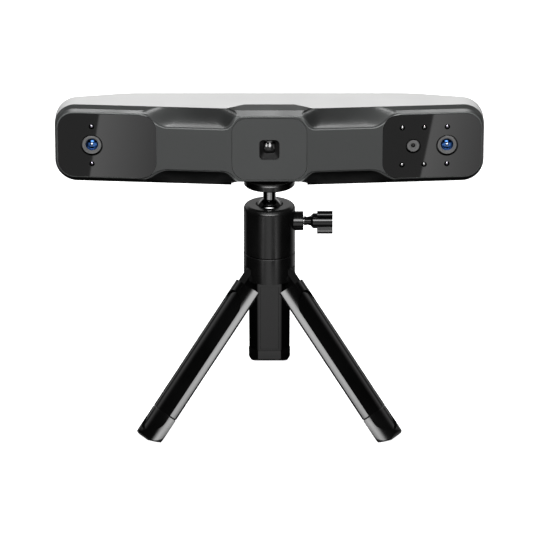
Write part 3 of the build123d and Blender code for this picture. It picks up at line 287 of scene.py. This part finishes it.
dress(["rear_shell"], silver)
dress(["front_bezel"], bezelGrey)
dress(["centre_plate"], plateGrey)
dress(["left_window", "right_window"], windowBlack)
dress([f"{kind}_{side}" for kind in ("leg", "leg_cover") for side in sides], glossBlack)
dress([f"foot_{side}" for side in sides], footRubber)
dress(["hub", "head_housing", "base_plug", "screw_plate"], satinBlack)
dress(["lock_knob", "power_button"], glossBlack)
dress(["plate_pad"], padRubber)
dress(["hinge_pins", "hub_screw", "mounting_screw", "lock_screw", "usb_c_socket", "bezel_screws", "shell_screws",
       "board_screws"], steel)
dress(["ball"], ballChrome)
dress(["ball_cup"], nylon)
dress(["lock_pin", "tripod_insert"], brass)
dress(["left_lens_barrel", "right_lens_barrel", "colour_lens_barrel"], barrelGrey)
dress(["left_lens", "right_lens"], lensBlue)
dress(["colour_lens", "projector_lens"], lensBlack)
dress(["left_infrared_leds", "right_infrared_leds"], infraredGlass)
dress(["flash_leds"], flashGlass)
dress(["light_pipe"], clear)
dress(["left_led_board", "right_led_board"], boardBlack)
dress(["main_board"], boardGreen)
dress(["left_camera_module", "right_camera_module", "colour_camera_module", "projector_module"], moduleBlack)
dress(["power_switch", "projector_shroud"], moduleBlack)
dress(["optical_bench"], aluminium)
dress(["heat_sink"], sinkBlack)
print("materials set")


def addMesh(name, bm, material, body=None):
    mesh = bpy.data.meshes.new(name)
    bmesh.ops.recalc_face_normals(bm, faces=bm.faces)
    bm.to_mesh(mesh)
    bm.free()
    piece = bpy.data.objects.new(name, mesh)
    bpy.context.scene.collection.objects.link(piece)
    mesh.materials.append(material)
    if body:
        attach(piece, body)
    return piece


def nodeBox(name):
    # the low and high corners of a node's box, and the middle of its front
    low, high = (Vector(corner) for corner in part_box(name))
    return low, high, Vector(((low.x + high.x) / 2, low.y, (low.z + high.z) / 2))


def spinProfile(bm, points, front, steps=40):
    # a profile of (radius, depth) pairs from the axis back to the axis, spun about a line along Y
    verts = [bm.verts.new((front.x + radius, front.y + depth, front.z)) for radius, depth in points]
    edges = [bm.edges.new(pair) for pair in zip(verts, verts[1:])]
    bmesh.ops.spin(bm, geom=edges, cent=front, axis=(0, 1, 0), dvec=(0, 0, 0), angle=2 * math.pi, steps=steps,
                   use_merge=True)
    bmesh.ops.remove_doubles(bm, verts=bm.verts, dist=tiny)


def domePoints(radius, crown, depth, steps=10):
    # from the middle of the dome out to its rim and straight back
    ball = (radius ** 2 + crown ** 2) / (2 * crown)
    reach = math.asin(radius / ball)
    arc = [(ball * math.sin(reach * step / steps), ball - ball * math.cos(reach * step / steps))
           for step in range(steps + 1)]
    return arc + [(radius, depth), (0, depth)]


def smoothAll(piece, angle=40):
    for face in piece.data.polygons:
        face.use_smooth = True
    piece.data.set_sharp_from_angle(angle=math.radians(angle))


# camera lenses: the height of each dome, and the radius, flatness and rise of the inner element that shows
# through its middle
lensForms = {
    "left_lens": {"crown": 0.0013, "inner": 0.0015, "flatness": 0.6, "rise": 0.0004},
    "right_lens": {"crown": 0.0013, "inner": 0.0015, "flatness": 0.6, "rise": 0.0004},
    "colour_lens": {"crown": 0.0006},
}


def makeLens(name, form, glass, pupil):
    low, high, front = nodeBox(name)
    bm = bmesh.new()
    spinProfile(bm, domePoints((high.x - low.x) / 2, form["crown"], high.y - low.y), front)
    piece = addMesh(f"{name}_glass", bm, glass, "scanner")
    smoothAll(piece)
    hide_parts(name)
    if "inner" in form:
        bm = bmesh.new()
        spinProfile(bm, domePoints(form["inner"], form["inner"] * form["flatness"], form["inner"]),
                    front - Vector((0, form["rise"], 0)))
        smoothAll(addMesh(f"{name}_pupil", bm, pupil, "scanner"))


# LED lenses: radius, the dome's height as a share of it, depth, sweep of the window they sit in, and steps round
ledForm = {"radius": 0.0016, "crown": 0.98, "depth": 0.0028, "sweep": math.tan(math.radians(5)), "steps": 24}


def makeLeds(name, columns, material):
    # domed LED lenses in place of the node's, one at the top and one at the bottom of each column
    low, high, front = nodeBox(name)
    radius = ledForm["radius"]
    bm = bmesh.new()
    for column in range(columns):
        share = column / max(columns - 1, 1)
        x = low.x + radius + share * (high.x - low.x - 2 * radius)
        y = low.y + (x - low.x - radius) * ledForm["sweep"]
        for z in (low.z + radius, high.z - radius):
            spinProfile(bm, domePoints(radius, radius * ledForm["crown"], ledForm["depth"]), Vector((x, y, z)),
                        ledForm["steps"])
    piece = addMesh(f"{name}_domes", bm, material, "scanner")
    smoothAll(piece)
    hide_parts(name)


# the height of the projector lens's dome, and two small mirrors in it: place (x, z), half width and half height
# of each, their half depth, how far behind the front they lie, and how finely they are divided
projectorForm = {"crown": 0.0010,
                 "mirrors": ((-0.0021, 0.0014, 0.0010, 0.0019), (0.0003, 0.0014, 0.0014, 0.0021)),
                 "mirrorDepth": 0.0006, "mirrorPlace": 0.0002, "segments": (24, 16)}


def makeProjectorGlass(form, glass, mirror):
    low, high, front = nodeBox("projector_lens")
    bm = bmesh.new()
    spinProfile(bm, domePoints((high.x - low.x) / 2, form["crown"], high.y - low.y), front)
    piece = addMesh("projector_lens_glass", bm, glass, "scanner")
    smoothAll(piece)
    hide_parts("projector_lens")
    bm = bmesh.new()
    around, rings = form["segments"]
    for x, z, halfWidth, halfHeight in form["mirrors"]:
        made = bmesh.ops.create_uvsphere(bm, u_segments=around, v_segments=rings, radius=1)["verts"]
        bmesh.ops.scale(bm, vec=(halfWidth, form["mirrorDepth"], halfHeight), verts=made)
        bmesh.ops.translate(bm, vec=front + Vector((x, form["mirrorPlace"], z)), verts=made)
    smoothAll(addMesh("projector_glints", bm, mirror, "scanner"), angle=80)


for name, form in lensForms.items():
    makeLens(name, form, lensBlack if name == "colour_lens" else lensBlue, pupilGlass)
makeLeds("left_infrared_leds", 1, infraredGlass)
makeLeds("right_infrared_leds", 1, infraredGlass)
makeLeds("flash_leds", 2, flashGlass)
makeProjectorGlass(projectorForm, lensBlack, mirrorWhite)
print("optics made")


# how the legs stand: lean from upright and azimuth in degrees, and where the hinge pins lie
legStance = {"lean": 39.5, "pivotRadius": 0.012, "pivotHeight": 0.1064,
             "azimuths": {"back": 90, "left": 210, "right": 330}}


def legFrame(name):
    # the hinge point of a leg, and its directions down, aside and across
    turn, lean = math.radians(legStance["azimuths"][name.split("_")[-1]]), math.radians(legStance["lean"])
    out = Vector((math.cos(turn), math.sin(turn), 0))
    pivot = out * legStance["pivotRadius"] + Vector((0, shiftY, legStance["pivotHeight"]))
    down = out * math.sin(lean) - Vector((0, 0, math.cos(lean)))
    across = out * math.cos(lean) + Vector((0, 0, math.sin(lean)))
    return pivot, down, Vector((-out.y, out.x, 0)), across


def everything(bm):
    return bm.verts[:] + bm.edges[:] + bm.faces[:]


def cutAway(bm, place, normal):
    # what lies beyond a plane goes, and the cut is closed
    made = bmesh.ops.bisect_plane(bm, geom=everything(bm), dist=tiny, plane_co=place, plane_no=normal,
                                  clear_outer=True)["geom_cut"]
    rim = [part for part in made if isinstance(part, bmesh.types.BMEdge)]
    if rim:
        bmesh.ops.edgeloop_fill(bm, edges=rim)


# the toe's corners as seen square on to the leg: half width, lowest point, radius, number of planes in each
# corner and the angle they cover. The prow rounds it again as seen along the floor, towards both sides.
toe = {"half": 0.01495, "tip": 0.1381, "radius": 0.0098, "planes": 8, "angle": 80}
prow = {"turn": 30, "radius": 0.0055, "angles": (15, 30, 45, 60, 75)}


def roundToe(bm, name):
    pivot, down, aside, _ = legFrame(name)
    for sign in (-1, 1):
        centre = pivot + down * (toe["tip"] - toe["radius"]) + aside * sign * (toe["half"] - toe["radius"])
        for step in range(toe["planes"]):
            angle = math.radians(toe["angle"]) * (step + 1) / toe["planes"]
            normal = aside * sign * math.cos(angle) + down * math.sin(angle)
            cutAway(bm, centre + normal * toe["radius"], normal)
    turn = math.radians(prow["turn"])
    out = Vector((aside.y, -aside.x, 0))
    for sign in (-1, 1):
        forward = out * math.cos(turn) + aside * sign * math.sin(turn)
        reach = max(vert.co.dot(forward) for vert in bm.verts)
        centre = forward * (reach - prow["radius"]) + Vector((0, 0, prow["radius"]))
        for angle in prow["angles"]:
            normal = forward * math.cos(math.radians(angle)) - Vector((0, 0, math.sin(math.radians(angle))))
            cutAway(bm, centre + normal * prow["radius"], normal)


# V groove where leg and foot meet: its place down the leg, half width, the point it closes in on, and how far
parting = {"down": 0.115825, "half": 0.0006, "across": -0.0015, "scale": 0.945, "tolerance": 0.00002}


def cutParting(bm, name):
    pivot, down, _, across = legFrame(name)
    way = parting["half"] if name.startswith("foot_") else -parting["half"]
    bmesh.ops.bisect_plane(bm, geom=everything(bm), dist=tiny, plane_co=pivot + down * (parting["down"] + way),
                           plane_no=down)
    centre = pivot + down * parting["down"] + across * parting["across"]
    for vert in bm.verts:
        if abs((vert.co - centre).dot(down)) < parting["tolerance"]:
            vert.co = centre + (vert.co - centre) * parting["scale"]


def bevelEdges(bm, edges, width, segments=2):
    bmesh.ops.bevel(bm, geom=edges, offset=width, offset_type="OFFSET", segments=segments, profile=0.5,
                    affect="EDGES", clamp_overlap=True, material=-1)


def foldAngle(edge):
    return edge.calc_face_angle(0) if len(edge.link_faces) == 2 else 0


# the leg's long corners: least distance aside, greatest distance across, shortest length, least fold in radians,
# how true they run down the leg, and their bevel
corners = {"aside": 0.0075, "across": -0.0022, "length": 0.004, "fold": 0.4, "true": 0.999, "width": 0.0009,
           "segments": 3}


def roundCorners(bm, name):
    pivot, down, aside, across = legFrame(name)

    def isCorner(edge):
        run = edge.verts[1].co - edge.verts[0].co
        return (run.length > corners["length"] and abs(run.normalized().dot(down)) > corners["true"]
                and foldAngle(edge) > corners["fold"]
                and all(abs((vert.co - pivot).dot(aside)) > corners["aside"]
                        and (vert.co - pivot).dot(across) < corners["across"] for vert in edge.verts))

    bevelEdges(bm, [edge for edge in bm.edges if isCorner(edge)], corners["width"], corners["segments"])


# edge roundings that catch the light: width of each in metres, and the fold in degrees from which an edge counts
softEdges = {
    **{f"leg_{side}": {"width": 0.00022, "fold": 25} for side in sides},
    **{f"foot_{side}": {"width": 0.00022, "fold": 25} for side in sides},
    **{f"leg_cover_{side}": {"width": 0.0002, "fold": 25} for side in sides},
    "hub": {"width": 0.0003, "fold": 35},
    "rear_shell": {"width": 0.0004, "fold": 40},
}


# before that, points nearer than this many metres are merged and faces with less fold than this many degrees
# joined; afterwards large faces weigh this much in the normals
merging = {"distance": 2e-6, "flat": 0.3, "weight": 100}


def softenEdges(name, edge):
    # a merged copy of the node, its flat faces joined again and its sharp edges rounded
    node = nodes[name]
    bm = bmesh.new()
    bm.from_mesh(node.data)
    bmesh.ops.remove_doubles(bm, verts=bm.verts, dist=merging["distance"])
    if name.startswith("foot_"):
        roundToe(bm, name)
    bmesh.ops.dissolve_limit(bm, angle_limit=math.radians(merging["flat"]), verts=bm.verts, edges=bm.edges)
    if name.split("_")[-1] in sides and not name.startswith("leg_cover"):
        roundCorners(bm, name)
        cutParting(bm, name)
    bevelEdges(bm, [each for each in bm.edges if foldAngle(each) > math.radians(edge["fold"])], edge["width"])
    for face in bm.faces:
        face.smooth = True
    piece = addMesh(f"{name}_soft", bm, node.data.materials[0], body_of(node)[0])
    piece.modifiers.new("normals", "WEIGHTED_NORMAL").weight = merging["weight"]
    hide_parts(name)


for name, edge in softEdges.items():
    softenEdges(name, edge)
print("edges softened")


# floor: half width, base tones, and the share it is lit by itself, so that it stays white under the object
floorLook = {"half": 4.0, "tones": (0.80, 0.82), "patches": 3.0, "glow": 0.95, "roughness": 0.8, "specular": 0.1}


def floorMaterial():
    material, tree, shader = newMaterial("floor_white")
    low, high = floorLook["tones"]
    tone = mixTones(tree, objectNoise(tree, floorLook["patches"]), grey(low), grey(high))
    link(tree, tone, "Color", shader, "Base Color")
    shader.inputs["Roughness"].default_value = floorLook["roughness"]
    shader.inputs["Specular IOR Level"].default_value = floorLook["specular"]
    shader.inputs["Emission Color"].default_value = (1, 1, 1, 1)
    shader.inputs["Emission Strength"].default_value = floorLook["glow"]
    return material


def makeFloor():
    # one wide flat sheet; beyond it the world is just as white
    bm = bmesh.new()
    bmesh.ops.create_grid(bm, x_segments=1, y_segments=1, size=floorLook["half"])
    floor = addMesh("floor", bm, floorMaterial())
    floor.visible_diffuse = False
    floor.visible_glossy = False
    floor.visible_shadow = False
    floor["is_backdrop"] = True


def areaLight(name, place, target, wide, power, high):
    lamp = bpy.data.lights.new(name, "AREA")
    lamp.shape = "RECTANGLE"
    lamp.size = wide
    lamp.size_y = high
    lamp.energy = power
    light = bpy.data.objects.new(name, lamp)
    light.location = place
    light.rotation_euler = (Vector(target) - Vector(place)).to_track_quat("-Z", "Y").to_euler()
    light.visible_glossy = False
    bpy.context.scene.collection.objects.link(light)
    return light


# soft light areas that only reflections show: middle and half width in azimuth, from straight in front and to
# the right, middle and half height in elevation, the fade at their edges, and radiance
softAreas = {
    "frontFloor": {"azimuth": 4, "half": 8, "fade": 46, "elevation": -21, "rise": 12, "soften": 12,
                   "radiance": 0.95},
    "rightFloor": {"azimuth": 136, "half": 14, "fade": 14, "elevation": -21, "rise": 10, "soften": 10,
                   "radiance": 0.2},
    "behind": {"azimuth": 180, "half": 40, "fade": 25, "elevation": 21, "rise": 8, "soften": 8, "radiance": 0.6},
    "backFloor": {"azimuth": 180, "half": 30, "fade": 30, "elevation": -18, "rise": 12, "soften": 10,
                  "radiance": 0.35},
}
# light from above for everything that isn't a reflection: from one elevation to another, and its two strengths
ambient = {"from": -5, "to": 30, "below": 0.04, "above": 0.22}


def makeWorld():
    world = bpy.data.worlds.new("world")
    bpy.context.scene.world = world
    world.use_nodes = True
    tree = world.node_tree
    background = tree.nodes["Background"]
    coords = tree.nodes.new("ShaderNodeTexCoord")
    parts = tree.nodes.new("ShaderNodeSeparateXYZ")
    link(tree, coords, "Generated", parts, "Vector")
    toFront = mathNode(tree, "MULTIPLY", parts.outputs["Y"], -1)
    azimuth = mathNode(tree, "MULTIPLY", mathNode(tree, "ARCTAN2", parts.outputs["X"], toFront), 180 / math.pi)
    elevation = mathNode(tree, "MULTIPLY", mathNode(tree, "ARCSINE", parts.outputs["Z"]), 180 / math.pi)
    total = None
    for area in softAreas.values():
        wrapped = mathNode(tree, "WRAP", mathNode(tree, "SUBTRACT", azimuth, area["azimuth"]), -180)
        wrapped.node.inputs[2].default_value = 180
        across = softBand(tree, wrapped, area["half"], area["fade"])
        raised = mathNode(tree, "SUBTRACT", elevation, area["elevation"])
        up = softBand(tree, raised, area["rise"], area["soften"])
        glow = mathNode(tree, "MULTIPLY", mathNode(tree, "MULTIPLY", across, up), area["radiance"])
        total = glow if total is None else mathNode(tree, "ADD", total, glow)
    path = tree.nodes.new("ShaderNodeLightPath")
    indirect = tree.nodes.new("ShaderNodeMix")
    fromAbove = linearStep(tree, elevation, ambient["from"], ambient["to"], ambient["below"], ambient["above"])
    link(tree, path, "Is Glossy Ray", indirect, "Factor")
    tree.links.new(fromAbove, indirect.inputs["A"])
    tree.links.new(total, indirect.inputs["B"])
    # the camera itself sees plain white
    seen = tree.nodes.new("ShaderNodeMix")
    link(tree, path, "Is Camera Ray", seen, "Factor")
    tree.links.new(indirect.outputs["Result"], seen.inputs["A"])
    seen.inputs["B"].default_value = 1.0
    background.inputs["Color"].default_value = (1, 1, 1, 1)
    tree.links.new(seen.outputs["Result"], background.inputs["Strength"])


# what each window mirrors: a patch of the table in front of it, dark on one side of a slanted line and lit on
# the other. Two points of the line and the lit side's far end, in metres on the floor.
mirrorPatches = {
    "left": {"start": (-0.258, -0.657), "end": (-0.233, -0.505), "fade": 0.075},
    "right": {"start": (0.251, -0.651), "end": (0.209, -0.504), "fade": 0.075},
}
# strengths on the dark side, at the line and at the far end; half blur of the line; half width of the patch, how
# far it runs on past the two points, and how high it lies
mirrorLight = {"dark": 0.27, "bright": 1.95, "rest": 0.42, "edge": 0.0006, "half": 0.11, "over": 0.25,
               "height": 0.001}


def makeMirrorPatch(side, line):
    material, tree, shader = newMaterial(f"mirror_patch_{side}")
    light = mirrorLight
    start = Vector((line["start"][0], line["start"][1] + shiftY, 0))
    end = Vector((line["end"][0], line["end"][1] + shiftY, 0))
    along = (end - start).normalized()
    across = Vector((along.y, -along.x, 0))
    coords = tree.nodes.new("ShaderNodeTexCoord")
    moved = tree.nodes.new("ShaderNodeVectorMath")
    moved.operation = "SUBTRACT"
    link(tree, coords, "Object", moved, 0)
    moved.inputs[1].default_value = start
    dot = tree.nodes.new("ShaderNodeVectorMath")
    dot.operation = "DOT_PRODUCT"
    link(tree, moved, "Vector", dot, 0)
    dot.inputs[1].default_value = across
    lit = linearStep(tree, dot.outputs["Value"], -light["edge"], light["edge"])
    fall = linearStep(tree, dot.outputs["Value"], 0, line["fade"], light["bright"], light["rest"])
    mix = tree.nodes.new("ShaderNodeMix")
    tree.links.new(lit, mix.inputs["Factor"])
    mix.inputs["A"].default_value = light["dark"]
    tree.links.new(fall, mix.inputs["B"])
    shader.inputs["Base Color"].default_value = (0, 0, 0, 1)
    shader.inputs["Specular IOR Level"].default_value = 0
    shader.inputs["Emission Color"].default_value = (1, 1, 1, 1)
    tree.links.new(mix.outputs["Result"], shader.inputs["Emission Strength"])
    bm = bmesh.new()
    ends = [bm.verts.new(start - along * light["over"] + across * sign * light["half"]) for sign in (-1, 1)]
    grown = bmesh.ops.extrude_edge_only(bm, edges=[bm.edges.new(ends)])["geom"]
    bmesh.ops.translate(bm, vec=(end - start) + along * 2 * light["over"],
                        verts=[part for part in grown if isinstance(part, bmesh.types.BMVert)])
    bmesh.ops.translate(bm, vec=(0, 0, light["height"]), verts=bm.verts)
    patch = addMesh(f"mirror_patch_{side}", bm, material)
    patch.visible_camera = False
    patch.visible_diffuse = False
    patch.visible_shadow = False
    patch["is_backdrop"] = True


# lamps that only reflections show, each for its own pieces: direction and size in degrees as seen from the
# object, the share of each edge that fades, and radiance. They stand at one distance from one point.
softLamps = {
    "tripodSoftbox": {"azimuth": 0, "elevation": 27, "wide": 84, "high": 28, "fade": 0.45, "radiance": 12.0,
                      "on": "tripod"},
    "tripodCore": {"azimuth": 0, "elevation": 17, "wide": 34, "high": 12, "fade": 0.5, "radiance": 4.0,
                   "on": "tripod"},
    "tripodTop": {"azimuth": 0, "elevation": 69, "wide": 90, "high": 16, "fade": 0.5, "radiance": 5.0,
                  "on": "tripod"},
    "tripodUnder": {"azimuth": 0, "elevation": -86, "wide": 70, "high": 60, "fade": 0.5, "radiance": 0.7,
                    "on": "tripod"},
    "bezelStrip": {"azimuth": 0, "elevation": 49, "wide": 100, "high": 16, "fade": 0.5, "radiance": 22.0,
                   "on": "scanner"},
    "glassGlow": {"azimuth": 0, "elevation": 16, "wide": 36, "high": 18, "fade": 0.4, "radiance": 5.0,
                  "on": "glass"},
}
lampDistance = 2.0
lampCentre = (0, 0, 0.16)


def makeSoftLamp(name, lamp, receivers):
    turn, climb = math.radians(lamp["azimuth"]), math.radians(lamp["elevation"])
    direction = Vector((math.sin(turn) * math.cos(climb), -math.cos(turn) * math.cos(climb), math.sin(climb)))
    light = areaLight(name, Vector(lampCentre) + direction * lampDistance, lampCentre,
                      2 * lampDistance * math.tan(math.radians(lamp["wide"] / 2)), 1.0,
                      2 * lampDistance * math.tan(math.radians(lamp["high"] / 2)))
    light.data.energy = lamp["radiance"] * math.pi * light.data.size * light.data.size_y
    light.data.use_nodes = True
    tree = light.data.node_tree
    place = tree.nodes.new("ShaderNodeNewGeometry")
    parts = tree.nodes.new("ShaderNodeSeparateXYZ")
    link(tree, place, "Parametric", parts, "Vector")
    glow = None
    for axis in ("X", "Y"):
        fromMiddle = mathNode(tree, "SUBTRACT", parts.outputs[axis], 0.5)
        band = softBand(tree, fromMiddle, 0.5 - lamp["fade"], lamp["fade"])
        glow = band if glow is None else mathNode(tree, "MULTIPLY", glow, band)
    tree.links.new(glow, tree.nodes["Emission"].inputs["Strength"])
    light.visible_glossy = True
    light.visible_diffuse = False
    light.light_linking.receiver_collection = receivers


def makeReceivers(name, bodies, words=("",)):
    # every visible piece that rides on one of these bodies and has one of the words in its name
    group = bpy.data.collections.new(name)
    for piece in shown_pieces():
        if body_of(piece)[0] in bodies and any(word in piece.name for word in words):
            group.objects.link(piece)
    return group


# place, target, width, power and height of the two lamps that light everything
mainLamps = {
    "key": ((-0.25, -1.6, 1.95), (0, 0, 0.15), 1.5, 85, 1.1),
    "back": ((0.5, 2.2, 0.45), (0, 0, 0.18), 1.6, 30, 0.7),
}
# the camera looks down by its pitch, in radians; its lens and sensor are in millimetres
view = {"place": (0.0004, -2.7885 + shiftY, 1.16891), "pitch": 0.3642, "lens": 285.5, "sensor": 36, "far": 20}


def makeCamera():
    lens = bpy.data.cameras.new("camera")
    camera = bpy.data.objects.new("camera", lens)
    camera.location = view["place"]
    camera.rotation_euler = (math.radians(90) - view["pitch"], 0, 0)
    lens.lens = view["lens"]
    lens.sensor_width = view["sensor"]
    lens.clip_end = view["far"]
    bpy.context.scene.collection.objects.link(camera)
    bpy.context.scene.camera = camera


makeFloor()
makeWorld()
for side, line in mirrorPatches.items():
    makeMirrorPatch(side, line)
for name, numbers in mainLamps.items():
    areaLight(name, *numbers)
scannerBodies = ("scanner", "button")
receivers = {
    "tripod": makeReceivers("tripod_pieces", [name for name in frame["bodies"] if name not in scannerBodies]),
    "scanner": makeReceivers("scanner_pieces", scannerBodies),
    "glass": makeReceivers("glass_pieces", scannerBodies[:1], ("lens", "leds", "glint")),
}
for name, lamp in softLamps.items():
    makeSoftLamp(name, lamp, receivers[lamp["on"]])
bpy.context.scene.view_settings.view_transform = "Standard"
makeCamera()
print("floor, lights and camera set")
